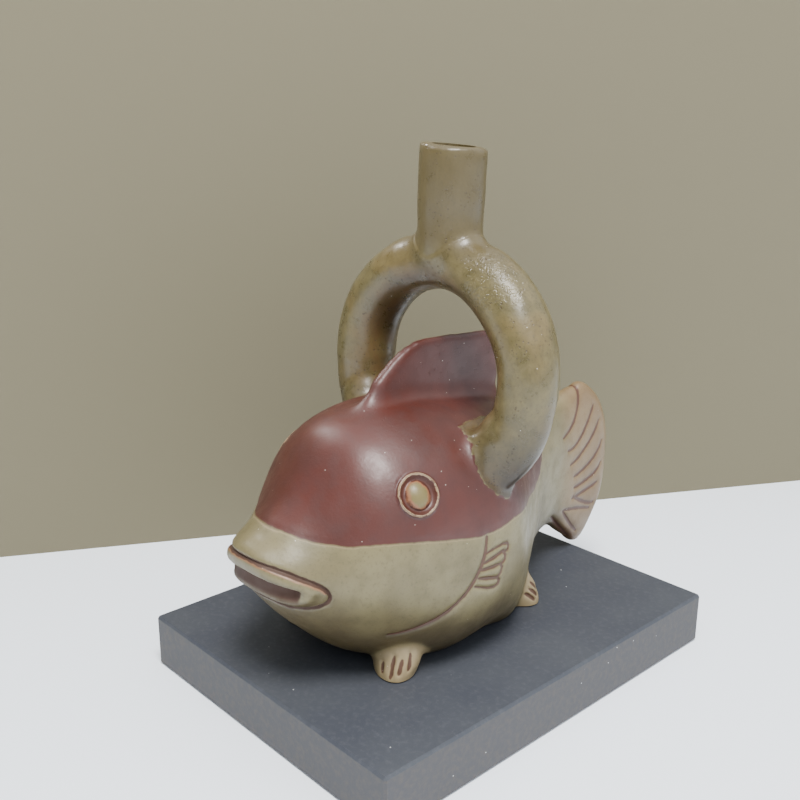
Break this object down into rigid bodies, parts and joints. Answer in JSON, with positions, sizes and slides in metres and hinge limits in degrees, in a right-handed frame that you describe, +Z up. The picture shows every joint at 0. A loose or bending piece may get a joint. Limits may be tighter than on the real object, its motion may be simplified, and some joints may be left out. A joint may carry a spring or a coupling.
{
  "type": "fish stirrup-spout vase",
  "caption": "Pottery bottle shaped as a fat-lipped fish with a fan tail, back fin and paw feet, a tubular stirrup handle carrying a straight spout, on a dark slab plinth",
  "frame": {"origin": "centre of the plinth's underside, on the surface that the object stands on", "axes": "+Z up; the fish looks along -Y, its tail towards +Y and its left side at +X; the object is symmetric about the plane X = 0"},
  "size_m": [0.077, 0.1136, 0.1148],
  "materials": {
    "slipped_clay": "burnished cream slip with a brown-red slip over the head, back and fin, worn and speckled, satin",
    "dark_board": "dark blue-grey board, matt, with paler worn edges"
  },
  "bodies": {
    "root": {"fish_vase": "slipped_clay", "plinth": "dark_board"}
  },
  "joints": []
}
